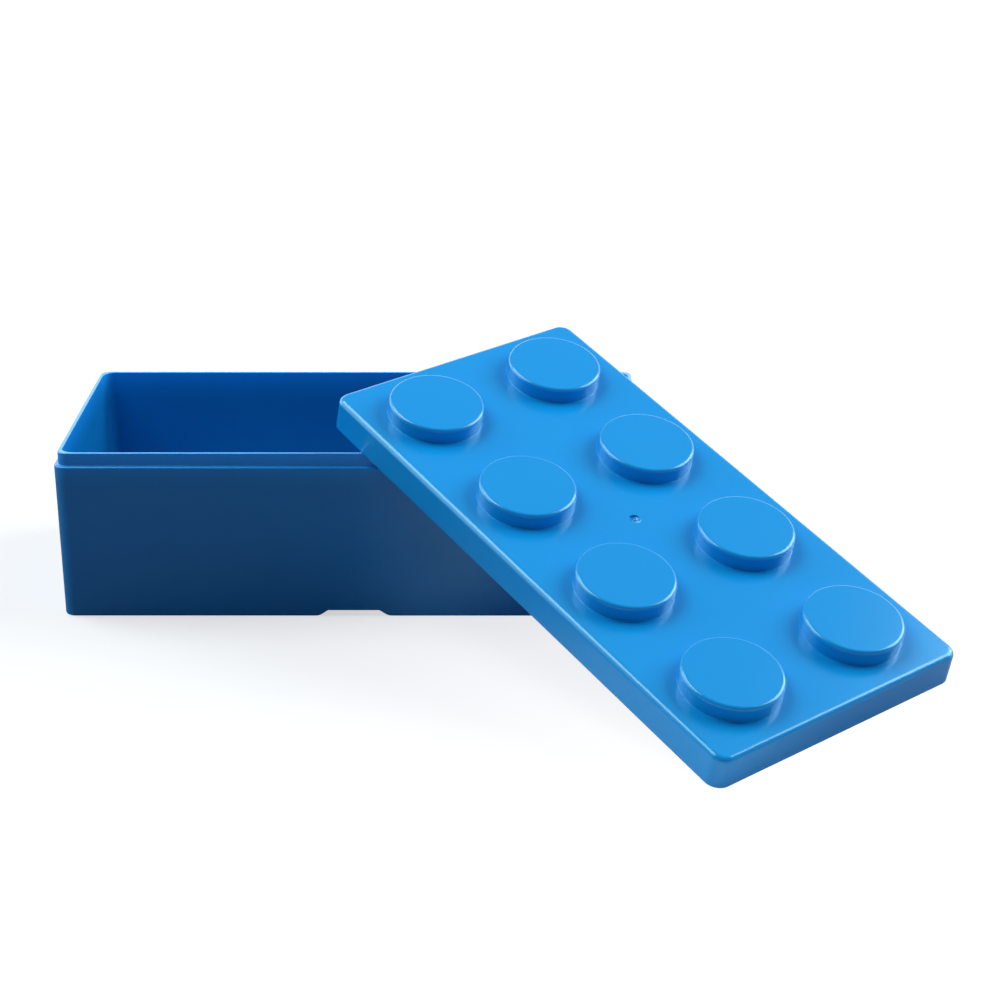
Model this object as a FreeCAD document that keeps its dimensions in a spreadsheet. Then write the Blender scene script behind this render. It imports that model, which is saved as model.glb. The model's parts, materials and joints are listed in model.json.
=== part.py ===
import FreeCAD, Part
import math
import os
import Sketcher

# A storage box shaped like a toy building brick, in two mouldings: an open box with a stepped
# rim, and a lid whose hollow studs stand four along it and two across it. The lid has been taken
# off and leans on the box's front right corner.
# Lengths are in millimetres and angles in degrees. The frame is the box's own: its origin is the
# middle of the foot, X runs along the box, Y to its back and Z up.

sizes = {
    "studPitch": 50.5,  # from one stud's middle to the next, along and across
    "moduleGap": 1.0,  # how much the lid falls short of whole stud pitches
    "lidOverhang": 0.4,  # how far the lid stands out past the box's shoulder
    "lidCorner": 5.0,  # plan radius of the lid's upright corners
    "bodyHeight": 54.2,  # from the foot to the shoulder that the lid sits on
    "wallLean": 0.8,  # how far each outer wall leans in by the foot
    "neckHeight": 4.5,  # the stepped rim that the lid slides over
    "neckGap": 0.3,  # between the neck and the lid's skirt when the box is shut
    "neckWall": 1.2,  # thickness of the neck
    "cavityCorner": 4.5,  # plan radius inside the neck
    "cavityLean": 1.0,  # how far each inner wall leans in by the floor
    "floorWall": 2.0,  # thickness of the box's floor
    "stackGap": 0.5,  # room over the studs of a brick that this one stands on
    "footWall": 2.2,  # thickness of the foot round the hollow base
    "notchLength": 26.2,  # the notch in the foot, along the bottom edge
    "notchTop": 17.6,  # the level part of the notch
    "notchHeight": 2.0,
    "notchFillet": 4.2,  # where the foot curves up into the notch
    "shoulderFillet": 0.6,
    "rimFillet": 0.3,
    "floorFillet": 2.0,
    "footFillet": 0.8,
    "lidHeight": 11.3,  # the lid's skirt and plate, without the studs
    "lidWall": 1.5,  # thickness of the skirt
    "topWall": 1.2,  # thickness of the plate and of the studs
    "skirtLean": 0.25,  # how far the skirt leans in by the plate
    "lidFillet": 1.2,  # round the plate's edge
    "studRadius": 16.0,
    "studHeight": 5.5,
    "studRound": 0.6,  # radius of the stud's rounded top edge
    "gateRadius": 1.9,  # the moulding gate's dimple in the middle of the plate
    "gateNibRadius": 0.6,  # the nib left standing in the dimple
    "gateDepth": 0.35,
    "overrun": 1.0,  # how far a cut starts outside what it cuts
    "restGap": 0.3,  # between the leaning lid and what it rests on
    "leanAngle": 22.45,  # turn between the front wall and the line through the two resting places
}
stud_columns = 4
stud_rows = 2
resting_column = 2  # the stud whose hollow the box's corner reaches into, from the upper left
resting_row = 2
rounding_bevels = 3  # narrow bevels that round each stud's top edge
settling_rounds = 12
same_place = 1e-4

up = FreeCAD.Vector(0, 0, 1)

doc = FreeCAD.newDocument("BrickBox")
sheet = doc.addObject("Spreadsheet::Sheet", "Sizes")
for row, (alias, value) in enumerate(sizes.items(), start=1):
    sheet.set(f"A{row}", alias)
    sheet.set(f"B{row}", str(value))
    sheet.setAlias(f"B{row}", alias)
doc.recompute()

# Sizes that follow from the sheet, as expressions
lid_length = f"({stud_columns} * Sizes.studPitch - Sizes.moduleGap)"
lid_width = f"({stud_rows} * Sizes.studPitch - Sizes.moduleGap)"
box_length = f"({lid_length} - 2 * Sizes.lidOverhang)"
box_width = f"({lid_width} - 2 * Sizes.lidOverhang)"
box_corner = "(Sizes.lidCorner - Sizes.lidOverhang)"
neck_inset = "(Sizes.lidWall + Sizes.neckGap - Sizes.lidOverhang)"
rim_height = "(Sizes.bodyHeight + Sizes.neckHeight)"
base_height = "(Sizes.studHeight + Sizes.stackGap)"
cavity_depth = f"({rim_height} - {base_height} - Sizes.floorWall)"
plate_underside = "(Sizes.lidHeight - Sizes.topWall)"


def amount(expression):
    return float(sheet.evalExpression(expression))


def origin_feature(body, role):
    return next(feature for feature in body.Origin.OriginFeatures if feature.Role == role)


def new_sketch(body, name, plane, offsets):
    sketch = body.newObject("Sketcher::SketchObject", name)
    sketch.AttachmentSupport = [(origin_feature(body, plane), "")]
    sketch.MapMode = "FlatFace"
    for axis, expression in offsets.items():
        sketch.setExpression(f"AttachmentOffset.Base.{axis}", expression)
    return sketch


def bind(sketch, name, expression, *constraint):
    index = sketch.addConstraint(Sketcher.Constraint(*constraint, amount(expression)))
    sketch.renameConstraint(index, name)
    sketch.setExpression(f"Constraints.{name}", expression)


# Ties the end of one line or arc of a sketch to the start of another
def join(sketch, kind, line, following):
    sketch.addConstraint(Sketcher.Constraint(kind, line, 2, following, 1))


# A rectangle with rounded corners about the body's axis, at a level above its XY plane
def rounded_plan(body, name, level, length, width, radius):
    sketch = new_sketch(body, name, "XY_Plane", {"z": level})
    x = amount(length) / 2
    y = amount(width) / 2
    r = amount(radius)
    corners = [(x - r, r - y), (x - r, y - r), (r - x, y - r), (r - x, r - y)]
    for turn, (corner_x, corner_y) in enumerate(corners):
        start = math.radians(90 * (turn - 1))
        before = corners[turn - 1]
        outward = FreeCAD.Vector(math.cos(start), math.sin(start), 0) * r
        side = Part.LineSegment(
            FreeCAD.Vector(*before, 0) + outward,
            FreeCAD.Vector(corner_x, corner_y, 0) + outward,
        )
        arc = Part.Circle(FreeCAD.Vector(corner_x, corner_y, 0), up, r)
        sketch.addGeometry(side)
        sketch.addGeometry(Part.ArcOfCircle(arc, start, start + math.pi / 2))
    sides = (0, 2, 4, 6)
    for side in sides:
        arc = side + 1
        following = (side + 2) % 8
        join(sketch, "Tangent", side, arc)
        join(sketch, "Tangent", arc, following)
        level_side = "Horizontal" if side in (0, 4) else "Vertical"
        sketch.addConstraint(Sketcher.Constraint(level_side, side))
        if side:
            sketch.addConstraint(Sketcher.Constraint("Equal", 1, arc))
    sketch.addConstraint(Sketcher.Constraint("Symmetric", 1, 3, 5, 3, -1, 1))
    bind(sketch, "corner", radius, "Radius", 1)
    bind(sketch, "length", length, "DistanceX", 6, 1, 2, 1)
    bind(sketch, "width", width, "DistanceY", 0, 1, 4, 1)
    return sketch


def extrude(body, kind, name, sketch, length, upward, lean=None):
    feature = body.newObject(f"PartDesign::{kind}", name)
    feature.Profile = sketch
    feature.Reversed = upward if kind == "Pocket" else not upward
    feature.setExpression("Length", length)
    if lean:
        feature.setExpression("TaperAngle", f"-atan({lean} / {length})")
    doc.recompute()
    return feature


def level_faces(shape, height):
    return [
        face
        for face in shape.Faces
        if abs(face.BoundBox.ZMin - height) < same_place and face.BoundBox.ZLength < same_place
    ]


def fillet(body, name, base, edges, radius):
    feature = body.newObject("PartDesign::Fillet", name)
    names = [
        f"Edge{number}"
        for number, edge in enumerate(base.Shape.Edges, start=1)
        if any(edge.isSame(chosen) for chosen in edges)
    ]
    feature.Base = (base, names)
    feature.setExpression("Radius", radius)
    doc.recompute()
    return feature


# The open box
box = doc.addObject("PartDesign::Body", "Box")
box.Label = "box"

shoulder_plan = rounded_plan(box, "ShoulderPlan", "Sizes.bodyHeight", box_length, box_width, box_corner)
walls = extrude(box, "Pad", "Walls", shoulder_plan, "Sizes.bodyHeight", False, "Sizes.wallLean")
neck_plan = rounded_plan(
    box,
    "NeckPlan",
    "Sizes.bodyHeight",
    f"{box_length} - 2 * {neck_inset}",
    f"{box_width} - 2 * {neck_inset}",
    f"{box_corner} - {neck_inset}",
)
neck = extrude(box, "Pad", "Neck", neck_plan, "Sizes.neckHeight", True)
cavity_plan = rounded_plan(
    box,
    "CavityPlan",
    rim_height,
    f"{box_length} - 2 * ({neck_inset} + Sizes.neckWall)",
    f"{box_width} - 2 * ({neck_inset} + Sizes.neckWall)",
    "Sizes.cavityCorner",
)
cavity = extrude(box, "Pocket", "Cavity", cavity_plan, cavity_depth, False, "Sizes.cavityLean")
base_plan = rounded_plan(
    box,
    "BasePlan",
    "0",
    f"{box_length} - 2 * (Sizes.wallLean + Sizes.footWall)",
    f"{box_width} - 2 * (Sizes.wallLean + Sizes.footWall)",
    f"{box_corner} - Sizes.wallLean",
)
hollow_base = extrude(box, "Pocket", "HollowBase", base_plan, base_height, True)

shoulder_face = max(level_faces(hollow_base.Shape, amount("Sizes.bodyHeight")), key=lambda face: face.Area)
shoulder = fillet(
    box, "ShoulderEdge", hollow_base, shoulder_face.OuterWire.Edges, "Sizes.shoulderFillet"
)
rim_face = level_faces(shoulder.Shape, amount(rim_height))[0]
rim = fillet(box, "RimEdges", shoulder, rim_face.Edges, "Sizes.rimFillet")
floor_face = level_faces(rim.Shape, amount(rim_height) - amount(cavity_depth))[0]
floor = fillet(box, "FloorEdge", rim, floor_face.OuterWire.Edges, "Sizes.floorFillet")
foot_face = level_faces(floor.Shape, 0)[0]
foot = fillet(box, "FootEdge", floor, foot_face.OuterWire.Edges, "Sizes.footFillet")

# The notch runs through the foot at the middle of both long sides. The foot curves up into it, and
# a straight slope leads on from each curve to the level top.
notch_plan = new_sketch(box, "NotchPlan", "XZ_Plane", {})
half_length = amount("Sizes.notchLength") / 2
half_top = amount("Sizes.notchTop") / 2
notch_height = amount("Sizes.notchHeight")
notch_radius = amount("Sizes.notchFillet")
below = amount("Sizes.overrun")
rise = notch_radius - notch_height
run = half_length - half_top
slope = math.asin(notch_radius / math.hypot(run, rise)) - math.atan2(rise, run)
foot_point = (half_length, 0)
slope_point = (
    half_length - notch_radius * math.sin(slope),
    notch_radius * (1 - math.cos(slope)),
)
top_point = (half_top, notch_height)
low_point = (half_length, -below)
straight = math.radians(270)
for side in (1, -1):
    curve = Part.Circle(FreeCAD.Vector(side * half_length, notch_radius, 0), up, notch_radius)
    first, last = sorted((straight, straight - side * slope))
    notch_plan.addGeometry(Part.ArcOfCircle(curve, first, last))
    for start, end in ((low_point, foot_point), (slope_point, top_point)):
        ends = [FreeCAD.Vector(side * across, height, 0) for across, height in (start, end)]
        notch_plan.addGeometry(Part.LineSegment(*ends))
for height in (-below, notch_height):
    half = half_length if height < 0 else half_top
    notch_plan.addGeometry(
        Part.LineSegment(FreeCAD.Vector(-half, height, 0), FreeCAD.Vector(half, height, 0))
    )
for curve, foot_end, slope_end, base_end in ((0, 2, 1, 2), (3, 1, 2, 1)):
    rising = curve + 1
    sloping = curve + 2
    notch_plan.addConstraint(Sketcher.Constraint("Coincident", rising, 2, curve, foot_end))
    notch_plan.addConstraint(Sketcher.Constraint("Tangent", curve, slope_end, sloping, 1))
    notch_plan.addConstraint(Sketcher.Constraint("Coincident", 6, base_end, rising, 1))
    notch_plan.addConstraint(Sketcher.Constraint("Coincident", 7, base_end, sloping, 2))
    notch_plan.addConstraint(Sketcher.Constraint("Vertical", rising))
    notch_plan.addConstraint(Sketcher.Constraint("Vertical", curve, 3, curve, foot_end))
    notch_plan.addConstraint(Sketcher.Constraint("PointOnObject", rising, 2, -1))
notch_plan.addConstraint(Sketcher.Constraint("Equal", 0, 3))
notch_plan.addConstraint(Sketcher.Constraint("Symmetric", 6, 1, 6, 2, -2))
notch_plan.addConstraint(Sketcher.Constraint("Symmetric", 7, 1, 7, 2, -2))
bind(notch_plan, "curve", "Sizes.notchFillet", "Radius", 0)
bind(notch_plan, "length", "Sizes.notchLength", "DistanceX", 6, 1, 6, 2)
bind(notch_plan, "top", "Sizes.notchTop", "DistanceX", 7, 1, 7, 2)
bind(notch_plan, "height", "Sizes.notchHeight", "DistanceY", -1, 1, 7, 1)
bind(notch_plan, "below", "Sizes.overrun", "DistanceY", 6, 1, -1, 1)
notch = box.newObject("PartDesign::Pocket", "FootNotches")
notch.Profile = notch_plan
notch.Midplane = True
notch.setExpression("Length", f"{box_width} + 2 * Sizes.overrun")
doc.recompute()

# The lid, in its own frame: its origin is the middle of the skirt's bottom edge
lid = doc.addObject("PartDesign::Body", "Lid")
lid.Label = "lid"

skirt_plan = rounded_plan(lid, "SkirtPlan", "0", lid_length, lid_width, "Sizes.lidCorner")
block = extrude(lid, "Pad", "SkirtAndPlate", skirt_plan, "Sizes.lidHeight", True, "Sizes.skirtLean")
top_face = level_faces(block.Shape, amount("Sizes.lidHeight"))[0]
plate = fillet(lid, "PlateEdge", block, top_face.OuterWire.Edges, "Sizes.lidFillet")
hollow_plan = rounded_plan(
    lid,
    "HollowPlan",
    "0",
    f"{lid_length} - 2 * Sizes.lidWall",
    f"{lid_width} - 2 * Sizes.lidWall",
    "Sizes.lidCorner - Sizes.lidWall",
)
hollow = extrude(lid, "Pocket", "Hollow", hollow_plan, plate_underside, True)

# One stud is turned about its own axis, at the lid's upper left, and hollowed from beneath
first_x = f"(-({stud_columns} - 1) * Sizes.studPitch / 2)"
first_y = f"(-({stud_rows} - 1) * Sizes.studPitch / 2)"
stud_profile = new_sketch(lid, "StudProfile", "XZ_Plane", {"x": first_x, "z": f"-{first_y}"})
stud_top = "(Sizes.lidHeight + Sizes.studHeight)"
stud_points = [("0", plate_underside), ("Sizes.studRadius", plate_underside)]
for step in range(rounding_bevels + 1):
    angle = f"(90 deg * {step} / {rounding_bevels})"
    stud_points.append((
        f"Sizes.studRadius - Sizes.studRound * (1 - cos({angle}))",
        f"{stud_top} - Sizes.studRound * (1 - sin({angle}))",
    ))
stud_points.append(("0", stud_top))
places = [FreeCAD.Vector(amount(across), amount(height), 0) for across, height in stud_points]
for index, place in enumerate(places):
    following = places[(index + 1) % len(places)]
    stud_profile.addGeometry(Part.LineSegment(place, following))
for index, (across, height) in enumerate(stud_points):
    join(stud_profile, "Coincident", index - 1 if index else len(stud_points) - 1, index)
    if across == "0":
        stud_profile.addConstraint(Sketcher.Constraint("PointOnObject", index, 1, -2))
    else:
        bind(stud_profile, f"across{index}", across, "DistanceX", -1, 1, index, 1)
    bind(stud_profile, f"height{index}", height, "DistanceY", -1, 1, index, 1)
stud = lid.newObject("PartDesign::Revolution", "Stud")
stud.Profile = stud_profile
stud.ReferenceAxis = (stud_profile, ["V_Axis"])
doc.recompute()

stud_hollow_plan = new_sketch(
    lid, "StudHollowPlan", "XY_Plane", {"x": first_x, "y": first_y, "z": plate_underside}
)
hollow_radius = amount("Sizes.studRadius - Sizes.topWall")
hollow_circle = Part.Circle(FreeCAD.Vector(0, 0, 0), up, hollow_radius)
stud_hollow_plan.addGeometry(hollow_circle)
stud_hollow_plan.addConstraint(Sketcher.Constraint("Coincident", 0, 3, -1, 1))
bind(stud_hollow_plan, "radius", "Sizes.studRadius - Sizes.topWall", "Radius", 0)
stud_hollow = extrude(lid, "Pocket", "StudHollow", stud_hollow_plan, "Sizes.studHeight", True)

along = lid.newObject("PartDesign::LinearPattern", "StudsAlong")
along.Direction = (origin_feature(lid, "X_Axis"), [""])
along.setExpression("Length", f"({stud_columns} - 1) * Sizes.studPitch")
along.Occurrences = stud_columns
across = lid.newObject("PartDesign::LinearPattern", "StudsAcross")
across.Direction = (origin_feature(lid, "Y_Axis"), [""])
across.setExpression("Length", f"({stud_rows} - 1) * Sizes.studPitch")
across.Occurrences = stud_rows
studs = lid.newObject("PartDesign::MultiTransform", "Studs")
studs.Originals = [stud, stud_hollow]
studs.Transformations = [along, across]
lid.Tip = studs
doc.recompute()

# The gate's mark in the middle of the plate: a shallow ring round a nib
gate_plan = new_sketch(lid, "GatePlan", "XY_Plane", {"z": "Sizes.lidHeight"})
for index, name in enumerate(("gateRadius", "gateNibRadius")):
    gate_plan.addGeometry(Part.Circle(FreeCAD.Vector(0, 0, 0), up, amount(f"Sizes.{name}")))
    gate_plan.addConstraint(Sketcher.Constraint("Coincident", index, 3, -1, 1))
    bind(gate_plan, name, f"Sizes.{name}", "Radius", index)
gate = extrude(lid, "Pocket", "GateMark", gate_plan, "Sizes.gateDepth", False)


# The lid's near left corner is on the floor, its long skirts lie across the box's front and right
# rims, and the rim's corner reaches up into the hollow of a stud. The tilt and the two crossings
# depend on each other, so they settle in rounds. Where the rim would meet the plate first, the
# lid is raised onto it.
def leaning_placement():
    rim_level = amount(rim_height)
    rim_x = amount(box_length) / 2 - amount(neck_inset)
    rim_y = amount(box_width) / 2 - amount(neck_inset)
    rim_corner = FreeCAD.Vector(rim_x, -rim_y, rim_level)
    gap = amount("Sizes.restGap")
    inner = amount(lid_width) / 2 - amount("Sizes.lidWall")
    lid_corner = amount("Sizes.lidCorner")
    foot_x = amount(lid_length) / 2 - lid_corner
    foot_y = lid_corner - amount(lid_width) / 2
    pitch = amount("Sizes.studPitch")
    stud_x = (resting_column - (stud_columns + 1) / 2) * pitch
    stud_y = (resting_row - (stud_rows + 1) / 2) * pitch
    hollow_radius = amount("Sizes.studRadius") - amount("Sizes.topWall")
    turn = math.radians(amount("Sizes.leanAngle"))
    line = FreeCAD.Vector(math.cos(turn), math.sin(turn), 0)
    away = FreeCAD.Vector(math.sin(turn), -math.cos(turn), 0)
    tilt = 0
    raised = 0
    for _ in range(settling_rounds):
        skew = 2 * (inner * math.cos(2 * turn) - stud_y) / (math.sin(2 * turn) * math.cos(tilt))
        front_x = stud_x - skew * line.x**2 - inner * math.sin(2 * turn) * math.cos(tilt)
        span = math.hypot(skew, 2 * inner)
        share_along = skew / span
        share_across = 2 * inner / span
        reach = (foot_x - front_x) * share_across - (foot_y + inner) * share_along + lid_corner
        tilt = math.asin((rim_level + raised) / reach)
        down = away * math.cos(tilt) - up * math.sin(tilt)
        normal = away * math.sin(tilt) + up * math.cos(tilt)
        lid_x = line * share_along + down * share_across
        lid_y = line * share_across - down * share_along
        front_rest = FreeCAD.Vector(rim_x - span * line.x, -rim_y, rim_level + gap + raised)
        middle = front_rest - lid_x * front_x + lid_y * inner
        placement = FreeCAD.Placement(middle, FreeCAD.Rotation(lid_x, lid_y, normal, "ZXY"))
        inside = placement.inverse().multVec(rim_corner)
        needed = [inside.z + gap - amount("Sizes.lidHeight + Sizes.studHeight - Sizes.topWall")]
        for rim_way in (FreeCAD.Vector(-1, 0, 0), FreeCAD.Vector(0, 1, 0)):
            way = placement.Rotation.inverted().multVec(rim_way)
            flat = math.hypot(way.x, way.y)
            missed_x = inside.x - stud_x
            missed_y = inside.y - stud_y
            toward = (missed_x * way.x + missed_y * way.y) / flat
            beside = (missed_x * way.y - missed_y * way.x) / flat
            leaving = math.sqrt(hollow_radius**2 - beside**2) - toward
            needed.append(inside.z + way.z * leaving / flat + gap - amount(plate_underside))
        raised = max(0, raised + max(needed) / math.cos(tilt))
    print("lid raised", round(raised, 3), "tilt", round(math.degrees(tilt), 2), "corner at", inside)
    return placement


lid.Placement = leaning_placement()
doc.recompute()

# Nothing is written unless every object is sound and every cut has cut
for item in doc.Objects:
    if "Invalid" in item.State or "Error" in item.State:
        raise RuntimeError(f"{item.Label} is {item.State}")
    if item.isDerivedFrom("PartDesign::Pocket") and item.Shape.Volume >= item.BaseFeature.Shape.Volume:
        raise RuntimeError(f"{item.Label} cuts nothing")
os.makedirs("parts", exist_ok=True)
for part in (box, lid):
    if part.Shape.isNull() or not part.Shape.isValid() or len(part.Shape.Solids) != 1:
        raise RuntimeError(f"{part.Label} is not one sound solid")
    part.Shape.exportStep(f"parts/{part.Label}.step")
    print(part.Label, "volume", round(part.Shape.Volume), "box", part.Shape.BoundBox)
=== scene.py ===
import json
import math

import bmesh
import bpy
from mathutils import Matrix, Vector


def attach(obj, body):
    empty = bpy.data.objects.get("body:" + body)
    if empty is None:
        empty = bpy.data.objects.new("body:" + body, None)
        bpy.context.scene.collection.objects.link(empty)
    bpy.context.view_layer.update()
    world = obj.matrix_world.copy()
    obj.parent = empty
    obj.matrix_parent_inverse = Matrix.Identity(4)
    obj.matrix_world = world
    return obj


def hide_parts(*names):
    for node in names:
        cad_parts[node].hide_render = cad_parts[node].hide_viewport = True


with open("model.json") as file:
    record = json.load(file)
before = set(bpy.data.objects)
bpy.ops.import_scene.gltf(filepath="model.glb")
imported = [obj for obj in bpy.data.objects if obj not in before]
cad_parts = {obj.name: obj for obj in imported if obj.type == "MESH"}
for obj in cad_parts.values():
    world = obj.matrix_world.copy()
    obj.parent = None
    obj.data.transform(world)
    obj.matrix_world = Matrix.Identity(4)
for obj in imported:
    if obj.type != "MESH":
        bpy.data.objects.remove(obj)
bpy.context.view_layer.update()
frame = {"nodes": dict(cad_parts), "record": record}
mm = 0.001
samePoint = 1e-6  # metres within which two points count as one
sharpAngle = 34  # degrees from which an edge stays sharp
print("frame loaded:", sorted(frame["nodes"]))


# Node values that add up like numbers, so that a pattern reads as a formula
class Value:
    def __init__(self, tree, socket=None):
        self.tree = tree
        self.socket = socket

    def node(self, kind, settings=None, inputs=None, out=0):
        made = self.tree.nodes.new(kind)
        for name, setting in (settings or {}).items():
            setattr(made, name, setting)
        for key, value in (inputs or {}).items():
            if isinstance(value, Value):
                self.tree.links.new(value.socket, made.inputs[key])
            else:
                made.inputs[key].default_value = value
        return Value(self.tree, made.outputs[out])

    def maths(self, operation, first, second):
        return self.node("ShaderNodeMath", {"operation": operation}, {0: first, 1: second})

    def __add__(self, other):
        return self.maths("ADD", self, other)

    def __radd__(self, other):
        return self.maths("ADD", other, self)

    def __sub__(self, other):
        return self.maths("SUBTRACT", self, other)

    def __rsub__(self, other):
        return self.maths("SUBTRACT", other, self)

    def __mul__(self, other):
        return self.maths("MULTIPLY", self, other)

    def __rmul__(self, other):
        return self.maths("MULTIPLY", other, self)


# The nodes that the materials, the floor and the sky share
def noise(start, place, size, detail, roughness=0.5):
    inputs = {"Vector": place, "Scale": size, "Detail": detail, "Roughness": roughness}
    return start.node("ShaderNodeTexNoise", {}, inputs, "Fac")


def distance(start, place, middle):
    kind = {"operation": "DISTANCE"}
    return start.node("ShaderNodeVectorMath", kind, {0: place, 1: middle}, "Value")


def component(start, vector, axis):
    return start.node("ShaderNodeSeparateXYZ", {}, {"Vector": vector}, axis)


def ranged(start, value, ends, soft=True, bottom=0.0):
    kind = {"interpolation_type": "SMOOTHSTEP" if soft else "LINEAR"}
    inputs = {"Value": value, "From Min": ends[0], "From Max": ends[1], "To Min": bottom}
    return start.node("ShaderNodeMapRange", kind, inputs)


def blended(start, share, first, second):
    return start.node("ShaderNodeMix", {"data_type": "RGBA"}, {0: share, 6: first, 7: second}, 2)


def ray(start, kind):
    return start.node("ShaderNodeLightPath", out=f"Is {kind} Ray")


# Moulded blue plastic: deep, glossy, and a little uneven, as a large thin moulding is
plastic = {
    "boxColours": ((0.003, 0.195, 0.5, 1), (0.005, 0.21, 0.525, 1)),
    "lidColours": ((0.003, 0.295, 0.725, 1), (0.005, 0.315, 0.75, 1)),
    # Flow lines are drawn out the way the plastic ran. Sizes are in waves to the metre.
    "boxFlow": (1.0, 2.0, 3.0),
    "lidFlow": (1.0, 1.6, 2.0),
    "flowSize": 18.0,
    "flowDetail": 3.0,
    "waveSize": 55.0,
    "waveDepth": 0.00004,
    "waveRoughness": 0.4,
    "grainSize": 1500.0,
    "grainDetail": 2.0,
    "grainDepth": 0.000002,
    "grainShare": 0.4,  # of the unevenness in the gloss; the flow makes the rest
    "roughness": 0.21,
    "roughnessSpread": 0.05,
    "ior": 1.49,
    "gloss": 0.95,
    "glossTint": (0.6, 0.95, 1.0, 1),
    # The rim is painted lighter towards its top, a painted glow standing in for the light that the
    # single wall lets through
    "rimPaintedGlowColour": (0.012, 0.36, 0.98, 1),
    "rimPaintedGlowHeights": (0.046, 0.0587),
    # Pale specks are painted round the gate's torn nib: painted glints where the specks catch the
    # light
    "paintedGlintColour": (0.3, 0.72, 1.0, 1),
    "paintedGlintRadius": 0.0016,
    "paintedGlintCore": 0.6,  # share of the radius where the painted glints are at full strength
    "paintedGlintSize": 1900.0,
    "paintedGlintLevels": (0.42, 0.56),
}


def bluePlastic(name, colours, flowScale, paintedRimGlow=False, glintCentre=None):
    material = bpy.data.materials.new(name)
    material.use_nodes = True
    tree = material.node_tree
    shader = tree.nodes["Principled BSDF"]
    shader.inputs["IOR"].default_value = plastic["ior"]
    shader.inputs["Specular IOR Level"].default_value = plastic["gloss"]
    shader.inputs["Specular Tint"].default_value = plastic["glossTint"]
    start = Value(tree)
    place = start.node("ShaderNodeTexCoord", out="Object")
    wave = noise(start, place, plastic["waveSize"], 1.0, plastic["waveRoughness"])
    stretched = start.node("ShaderNodeMapping", {}, {"Vector": place, "Scale": flowScale})
    flow = noise(start, stretched, plastic["flowSize"], plastic["flowDetail"])
    grain = noise(start, place, plastic["grainSize"], plastic["grainDetail"])
    colour = blended(start, wave * 0.5 + flow * 0.5, *colours)
    # painted glow: the colour grows lighter up to the rim's top, for light through the wall
    if paintedRimGlow:
        thin = ranged(start, component(start, place, "Z"), plastic["rimPaintedGlowHeights"], soft=False)
        colour = blended(start, thin * thin, colour, plastic["rimPaintedGlowColour"])
    # painted glints: pale specks near the gate's nib stand in for highlights
    if glintCentre:
        radius = plastic["paintedGlintRadius"]
        near = ranged(
            start, distance(start, place, glintCentre), (radius, radius * plastic["paintedGlintCore"]), soft=False
        )
        specks = noise(start, place, plastic["paintedGlintSize"], 1.0)
        pale = ranged(start, specks, plastic["paintedGlintLevels"], soft=False)
        colour = blended(start, near * pale, colour, plastic["paintedGlintColour"])
    uneven = flow * (1 - plastic["grainShare"]) + grain * plastic["grainShare"] - 0.5
    roughness = plastic["roughness"] + uneven * plastic["roughnessSpread"]
    height = wave * plastic["waveDepth"] + grain * plastic["grainDepth"]
    bump = start.node("ShaderNodeBump", {}, {"Height": height, "Strength": 1.0, "Distance": 1.0})
    for socket, value in (("Base Color", colour), ("Roughness", roughness), ("Normal", bump)):
        tree.links.new(value.socket, shader.inputs[socket])
    return material


# A closed ring of edges in the shape of a rectangle with rounded corners
def roundedRing(mesh, length, width, radius, height, steps):
    corners = [
        mesh.verts.new((along * length / 2, across * width / 2, height))
        for along, across in ((-1, -1), (1, -1), (1, 1), (-1, 1))
    ]
    mesh.faces.new(corners)
    before = set(mesh.verts) - set(corners)
    roundOff(mesh, corners, radius, steps, "VERTICES")
    ring = set(mesh.verts) - before
    faces = [face for face in mesh.faces if ring.issuperset(face.verts)]
    bmesh.ops.delete(mesh, geom=faces, context="FACES_ONLY")
    return [edge for edge in mesh.edges if ring.issuperset(edge.verts)]


def roundOff(mesh, parts, radius, steps, kind="EDGES"):
    bmesh.ops.bevel(
        mesh, geom=parts, affect=kind, offset=radius, offset_type="OFFSET",
        segments=steps, profile=0.5, material=-1, clamp_overlap=False,
    )


# A wall that runs through rings of its own plan, each drawn in and rounded by its level.
# The rings are joined as a straight stack, and then each is moved to its real height.
def wallThrough(mesh, length, width, levels, steps):
    stackStep = 0.1
    rings = [
        roundedRing(
            mesh, (length - 2 * inward) * mm, (width - 2 * inward) * mm, radius * mm,
            index * stackStep, steps,
        )
        for index, (inward, radius, _) in enumerate(levels)
    ]
    for ring, following in zip(rings, rings[1:]):
        bmesh.ops.bridge_loops(mesh, edges=ring + following)
    for ring, (_, _, height) in zip(rings, levels):
        for vertex in {vertex for edge in ring for vertex in edge.verts}:
            vertex.co.z = height * mm
    for ring in (rings[0], rings[-1]):
        bmesh.ops.contextual_create(mesh, geom=ring)
    return rings


# The mesh becomes a piece that shades smooth over its roundings and flat over its walls
def finishPiece(name, mesh, material, body, node):
    bmesh.ops.recalc_face_normals(mesh, faces=mesh.faces)
    data = bpy.data.meshes.new(name)
    mesh.to_mesh(data)
    mesh.free()
    data.polygons.foreach_set("use_smooth", [True] * len(data.polygons))
    data.set_sharp_from_angle(angle=math.radians(sharpAngle))
    data.materials.append(material)
    piece = bpy.data.objects.new(name, data)
    bpy.context.scene.collection.objects.link(piece)
    shading = piece.modifiers.new("evenShading", "WEIGHTED_NORMAL")
    shading.keep_sharp = True
    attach(piece, body)
    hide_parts(node)
    print(name, "made:", len(data.polygons), "faces")


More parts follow.
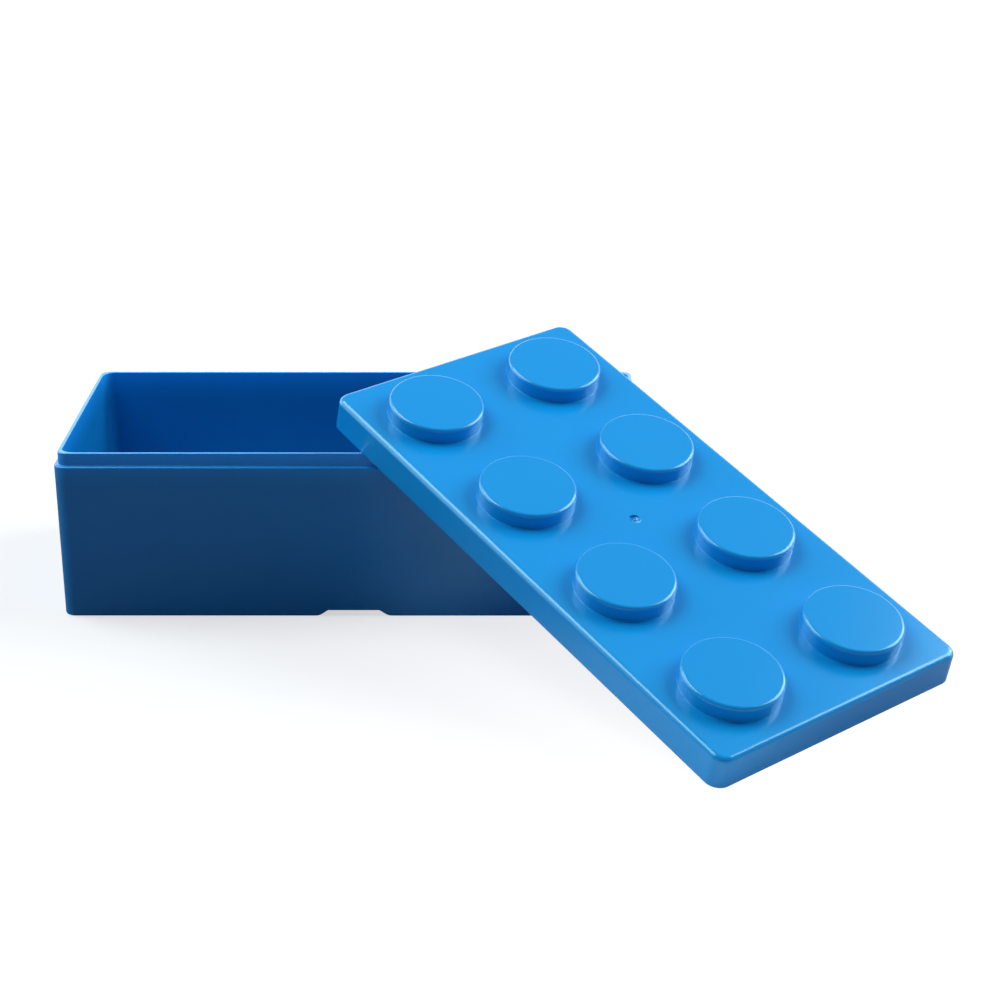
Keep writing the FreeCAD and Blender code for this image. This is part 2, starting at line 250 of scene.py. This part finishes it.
# The box: walls that lean in to the foot, a stepped neck, and a foot that is hollow beneath.
# Lengths of the pieces are in millimetres.
boxSizes = {
    "length": 200.2,
    "width": 99.2,
    "corner": 4.6,
    "shoulder": 54.2,
    "lean": 0.8,
    "neckInset": 1.4,
    "neckHeight": 4.5,
    "neckWall": 1.2,
    "cavityCorner": 4.5,
    "cavityLean": 1.0,
    "base": 6.0,
    "floor": 2.0,
    "footWall": 2.2,
    "notchLength": 26.2,
    "notchTop": 17.6,
    "notchHeight": 2.0,
    "notchCurve": 4.2,
    "notchSteps": 6,
    "steps": 12,
    # radius and steps of each ring's edge: base, foot inside and outside, shoulder, neck root,
    # rim outside and inside, floor
    "roundings": ((0.8, 3), (0.3, 2), (0.8, 4), (0.6, 4), (0.25, 3), (0.3, 3), (0.3, 3), (2.0, 6)),
}


# The foot curves up into the notch, climbs a straight slope and runs level over its top
def liftNotches(mesh):
    size = boxSizes
    end, top = size["notchLength"] / 2, size["notchTop"] / 2
    curve = size["notchCurve"]
    run = end - top
    rise = curve - size["notchHeight"]
    slope = math.asin(curve / math.hypot(run, rise)) - math.atan2(rise, run)
    steps = size["notchSteps"]
    bends = [end - curve * math.sin(slope * step / steps) for step in range(steps + 1)]
    for across in bends + [top]:
        for side in (1, -1):
            bmesh.ops.bisect_plane(
                mesh, geom=list(mesh.verts) + list(mesh.edges) + list(mesh.faces),
                dist=samePoint / 10, plane_co=(side * across * mm, 0, 0), plane_no=(1, 0, 0),
            )
    footRound = size["roundings"][2][0]
    for vertex in mesh.verts:
        across = abs(vertex.co.x) / mm
        if vertex.co.z < footRound * mm + samePoint and across < end:
            if across > bends[-1]:
                lift = curve - math.sqrt(curve**2 - (end - across) ** 2)
            else:
                lift = size["notchHeight"] + min(0, (top - across) * math.tan(slope))
            vertex.co.z += lift * mm


def makeBox(material):
    size = boxSizes
    mesh = bmesh.new()
    corner, foot, inset = size["corner"], size["lean"], size["neckInset"]
    rim = size["shoulder"] + size["neckHeight"]
    inner = inset + size["neckWall"]
    under = foot + size["footWall"]
    # how far in each ring lies, its corner's radius and its height
    levels = [
        (under, corner - foot, size["base"]),
        (under, corner - foot, 0),
        (foot, corner - foot, 0),
        (0, corner, size["shoulder"]),
        (inset, corner - inset, size["shoulder"]),
        (inset, corner - inset, rim),
        (inner, size["cavityCorner"], rim),
        (
            inner + size["cavityLean"],
            size["cavityCorner"] - size["cavityLean"],
            size["base"] + size["floor"],
        ),
    ]
    rings = wallThrough(mesh, size["length"], size["width"], levels, size["steps"])
    for ring, (radius, steps) in zip(rings, size["roundings"]):
        roundOff(mesh, ring, radius * mm, steps)
    liftNotches(mesh)
    finishPiece("storageBox", mesh, material, "box", "box")


boxPlastic = bluePlastic(
    "boxBluePlastic", plastic["boxColours"], plastic["boxFlow"], paintedRimGlow=True
)
makeBox(boxPlastic)

# The lid, built about the middle of its skirt's lower edge and then laid where the frame has it
lidSizes = {
    "length": 201.0,
    "width": 100.0,
    "corner": 5.0,
    "height": 11.3,
    "lean": 0.25,
    "wall": 1.5,
    "top": 1.2,
    # radius and steps of each ring's edge: under the plate, skirt inside and outside, plate
    "roundings": ((0.4, 3), (0.25, 2), (0.25, 2), (1.9, 8)),
    "steps": 12,
    "columns": 4,
    "rows": 2,
    "pitch": 50.5,
    "studRadius": 16.1,
    "studHeight": 5.5,
    "studRound": 1.2,
    "studRoot": 0.15,
    "studSteps": 96,
    "hollowRound": 0.5,
    "profileSteps": 5,
    "gateRadius": 1.9,
    "gateDepth": 0.85,
    "gateLean": 0.05,
    "gateRound": 0.2,
    "gateSteps": 48,
    "gateRunOut": 0.4,  # share of its depth that the dimple loses towards the lid's low end
    "nibRadius": 0.8,
    "nibTop": -0.2,
    "nibTaper": 0.1,
    "nibRoot": 0.1,
    "nibRound": 0.12,
    "nibShift": 0.5,
    "nibRough": 0.45,
    "nibLobes": (3, 7),
    # where the painted glints sit, in millimetres on the lid
    "paintedGlintPlace": (0.9, 0.2, 11.3),
}


# The mounts on the studs give the lid's middle and its directions
def lidPlace():
    mounts = {mount["name"]: mount for mount in frame["record"]["mounts"]}
    first, last, opposite = (
        Vector(mounts[name]["pos_m"]) for name in ("stud_left_1", "stud_left_4", "stud_right_4")
    )
    along = (last - first).normalized()
    upward = Vector(mounts["stud_left_1"]["axis"])
    sideways = upward.cross(along)
    lift = lidSizes["height"] + mounts["stud_left_1"]["dims"]["length_mm"] / 2
    middle = (first + opposite) / 2 - upward * lift * mm
    turn = Matrix((along, sideways, upward)).transposed().to_4x4()
    return Matrix.Translation(middle) @ turn


# A form turned about an upright axis from a line of points, each with its own rounding
def turned(mesh, points, centre, steps):
    before = set(mesh.verts)
    line = [
        mesh.verts.new((centre.x + across * mm, centre.y, height * mm))
        for across, height, _ in points
    ]
    for pair in zip(line, line[1:]):
        mesh.edges.new(pair)
    for vertex, (_, _, radius) in zip(line, points):
        if radius:
            bmesh.ops.bevel(
                mesh, geom=[vertex], affect="VERTICES", offset=radius * mm, offset_type="OFFSET",
                segments=lidSizes["profileSteps"], profile=0.5, material=-1,
            )
    line = [vertex for vertex in mesh.verts if vertex not in before]
    inside = set(line)
    edges = [edge for edge in mesh.edges if inside.issuperset(edge.verts)]
    bmesh.ops.spin(
        mesh, geom=line + edges, cent=centre, axis=(0, 0, 1), angle=math.tau,
        steps=steps, use_merge=True, use_duplicate=False,
    )
    form = [vertex for vertex in mesh.verts if vertex not in before]
    bmesh.ops.remove_doubles(mesh, verts=form, dist=samePoint)
    return [vertex for vertex in mesh.verts if vertex not in before]


# The rims of the studs and the edge of the plate are open at the same level, and are joined
def fillPlate(mesh, height, upward):
    rims = [
        edge
        for edge in mesh.edges
        if edge.is_boundary and all(abs(vertex.co.z - height) < samePoint for vertex in edge.verts)
    ]
    bmesh.ops.triangle_fill(mesh, edges=rims, use_beauty=True, normal=(0, 0, upward))


# One stud is turned, solid outside and hollow beneath, and then copied over the plate
def addStuds(mesh, plate, underside):
    size = lidSizes
    pitch, radius = size["pitch"], size["studRadius"]
    top = plate + size["studHeight"]
    hollow, ceiling = radius - size["top"], top - size["top"]
    first = Vector(((1 - size["columns"]) * pitch / 2, (1 - size["rows"]) * pitch / 2, 0)) * mm
    outer = turned(mesh, [
        (radius + size["studRoot"], plate, 0),
        (radius, plate, size["studRoot"]),
        (radius, top, size["studRound"]),
        (0, top, 0),
    ], first, size["studSteps"])
    inner = turned(mesh, [
        (hollow, underside, 0),
        (hollow, ceiling, size["hollowRound"]),
        (0, ceiling, 0),
    ], first, size["studSteps"] // 2)
    stud = set(outer + inner)
    form = [vertex for vertex in mesh.verts if vertex in stud] + [
        element
        for element in list(mesh.edges) + list(mesh.faces)
        if stud.issuperset(element.verts)
    ]
    for column in range(size["columns"]):
        for row in range(size["rows"]):
            if column or row:
                copied = bmesh.ops.duplicate(mesh, geom=form)["geom"]
                points = [element for element in copied if isinstance(element, bmesh.types.BMVert)]
                shift = Vector((column * pitch, row * pitch, 0)) * mm
                bmesh.ops.translate(mesh, verts=points, vec=shift)


# The gate's dimple, with the torn end of the runner standing in it
def addGate(mesh, plate):
    size = lidSizes
    bottom, tip = plate - size["gateDepth"], plate - size["nibTop"]
    halfway = (plate - size["gateDepth"] / 2) * mm
    few, many = size["nibLobes"]
    gate = turned(mesh, [
        (size["gateRadius"], plate, 0),
        (size["gateRadius"] - size["gateLean"], bottom, size["gateRound"]),
        (size["nibRadius"], bottom, size["nibRoot"]),
        (size["nibRadius"] - size["nibTaper"], tip, size["nibRound"]),
        (0, tip, 0),
    ], Vector((0, 0, 0)), size["gateSteps"])
    for vertex in gate:
        across = math.hypot(vertex.co.x, vertex.co.y) / mm
        turn = math.atan2(vertex.co.y, vertex.co.x)
        if across < size["nibRadius"] and vertex.co.z > halfway:
            jag = math.sin(few * turn + 1) * math.sin(many * turn) * across
            vertex.co.z += size["nibRough"] * mm * jag
            vertex.co.x += size["nibShift"] * mm
        elif vertex.co.z < halfway:
            runOut = size["gateRunOut"] * size["gateDepth"]
            vertex.co.z += runOut * (mm + vertex.co.x / size["gateRadius"])


def makeLid(material):
    size = lidSizes
    mesh = bmesh.new()
    plate = size["height"]
    underside = plate - size["top"]
    levels = [
        (inward, size["corner"] - inward, height)
        for inward, height in (
            (size["wall"], underside), (size["wall"], 0), (0, 0), (size["lean"], plate)
        )
    ]
    rings = wallThrough(mesh, size["length"], size["width"], levels, size["steps"])
    for ring, (radius, steps) in zip(rings, size["roundings"]):
        roundOff(mesh, ring, radius * mm, steps)
    # Only the plate's two faces have a corner for each step, and they open round the studs
    caps = [face for face in mesh.faces if len(face.verts) > size["steps"]]
    bmesh.ops.delete(mesh, geom=caps, context="FACES_ONLY")
    addStuds(mesh, plate, underside)
    addGate(mesh, plate)
    fillPlate(mesh, plate * mm, 1)
    fillPlate(mesh, underside * mm, -1)
    bmesh.ops.transform(mesh, matrix=lidPlace(), verts=mesh.verts)
    finishPiece("studdedLid", mesh, material, "lid", "lid")


# the middle of the painted glints on the gate's nib
gatePlace = lidPlace() @ (Vector(lidSizes["paintedGlintPlace"]) * mm)
lidPlastic = bluePlastic(
    "lidBluePlastic", plastic["lidColours"], plastic["lidFlow"], glintCentre=gatePlace
)
makeLid(lidPlastic)


# A pale floor, lamps high and at both sides, and a camera as the photograph has it
studio = {
    "floorSize": 8.0,
    "floorColour": (0.86, 0.82, 0.815, 1),
    # Within the first radius this much of the floor is plain white, so that the shadow on it
    # stays light, and past the second all of it is
    "floorWhite": 0.5,
    "shadowMiddle": (-0.15, -0.05, 0),
    "shadowRadii": (0.08, 0.38),
    "whiteLevel": 1.1,
    # What the floor gives back to the object: little before the box, most beside the lid's
    # long side, less before its low end
    "boxBounce": (0.155, 0.145, 0.21, 1),
    "lidBounce": (0.76, 0.72, 0.76, 1),
    "lidFrom": (-0.01, 0.05),
    "endBounce": (0.46, 0.38, 0.44, 1),
    "endFrom": (0.11, 0.17),
    # The pale backdrop stands low behind the object, and gloss shows it as the camera does
    "backdropHeights": (0.55, 0.4),
    "backdropGlow": 0.6,  # how much brighter the backdrop is in the gloss than to the camera
    "frontSky": (0.06, 0.057, 0.09, 1),
    "backSky": (0.24, 0.25, 0.27, 1),
    "backFrom": (-0.4, 0.5),
    # name, place, length, height, power
    "lamps": (
        ("rightLamp", (1.26, 0.34, 0.94), 1.15, 1.05, 23.5),
        ("leftLamp", (-1.3, 0.3, 0.7), 1.6, 1.0, 9.0),
        ("highLamp", (-0.7, 0.0, 1.38), 1.15, 0.9, 17.0),
    ),
    "lampTarget": (0.1, 0, 0.05),
    "lampColour": (0.86, 0.97, 1.0),
}
white = (1, 1, 1, 1)


def makeFloor():
    mesh = bmesh.new()
    bmesh.ops.create_grid(mesh, x_segments=1, y_segments=1, size=studio["floorSize"] / 2)
    data = bpy.data.meshes.new("floor")
    mesh.to_mesh(data)
    mesh.free()
    floor = bpy.data.objects.new("floor", data)
    bpy.context.scene.collection.objects.link(floor)
    material = bpy.data.materials.new("paleFloor")
    material.use_nodes = True
    tree = material.node_tree
    tree.nodes.clear()
    start = Value(tree)
    place = start.node("ShaderNodeTexCoord", out="Object")
    away = distance(start, place, studio["shadowMiddle"])
    far = ranged(start, away, studio["shadowRadii"], bottom=studio["floorWhite"])
    lit = start.node("ShaderNodeBsdfDiffuse", {}, {"Color": studio["floorColour"]})
    glow = {"Color": white, "Strength": studio["whiteLevel"]}
    plain = start.node("ShaderNodeEmission", {}, glow)
    shown = start.node("ShaderNodeMixShader", {}, {0: far, 1: lit, 2: plain})
    along = component(start, place, "X")
    lidSide = ranged(start, along, studio["lidFrom"])
    endSide = ranged(start, along, studio["endFrom"])
    tint = blended(start, lidSide, studio["boxBounce"], studio["lidBounce"])
    tint = blended(start, endSide, tint, studio["endBounce"])
    bounced = start.node("ShaderNodeBsdfDiffuse", {}, {"Color": tint})
    direct = start.maths("MAXIMUM", ray(start, "Camera"), ray(start, "Transmission"))
    mixed = start.node("ShaderNodeMixShader", {}, {0: direct, 1: bounced, 2: shown})
    output = tree.nodes.new("ShaderNodeOutputMaterial")
    tree.links.new(mixed.socket, output.inputs["Surface"])
    data.materials.append(material)


def lightStudio():
    for name, place, length, height, power in studio["lamps"]:
        lamp = bpy.data.lights.new(name, "AREA")
        lamp.shape = "RECTANGLE"
        lamp.size = length
        lamp.size_y = height
        lamp.energy = power
        lamp.color = studio["lampColour"]
        thing = bpy.data.objects.new(name, lamp)
        thing.location = place
        towards = Vector(studio["lampTarget"]) - Vector(place)
        thing.rotation_euler = towards.to_track_quat("-Z", "Y").to_euler()
        bpy.context.scene.collection.objects.link(thing)
    world = bpy.data.worlds.new("studioWorld")
    bpy.context.scene.world = world
    world.use_nodes = True
    tree = world.node_tree
    tree.nodes.clear()
    start = Value(tree)
    direction = start.node("ShaderNodeTexCoord", out="Generated")
    behind = ranged(start, component(start, direction, "Y"), studio["backFrom"])
    low = ranged(start, component(start, direction, "Z"), studio["backdropHeights"])
    room = blended(start, behind, studio["frontSky"], studio["backSky"])
    backdrop = ray(start, "Glossy") * low * behind
    pale = start.maths("MAXIMUM", ray(start, "Camera"), backdrop)
    sky = start.node("ShaderNodeBackground", {}, {
        "Color": blended(start, pale, room, white),
        "Strength": backdrop * studio["backdropGlow"] + 1.0,
    })
    output = tree.nodes.new("ShaderNodeOutputWorld")
    tree.links.new(sky.socket, output.inputs["Surface"])


# Worked out from the photograph's perspective
view = {
    "place": (0.0510652, -0.7925538, 0.3080736),
    "tiltDown": 0.3431,
    "turn": 0.0012,
    "focal": 2343.0,  # in pixels, as the picture's width is
    "width": 1000,
    "sensor": 36.0,
}


def aimCamera():
    lens = bpy.data.cameras.new("camera")
    lens.sensor_width = view["sensor"]
    lens.lens = view["focal"] * view["sensor"] / view["width"]
    camera = bpy.data.objects.new("camera", lens)
    camera.location = view["place"]
    camera.rotation_euler = (math.pi / 2 - view["tiltDown"], 0, view["turn"])
    bpy.context.scene.collection.objects.link(camera)
    bpy.context.scene.camera = camera


makeFloor()
lightStudio()
aimCamera()
bpy.context.scene.view_settings.view_transform = "Standard"
print("studio lit, camera placed")
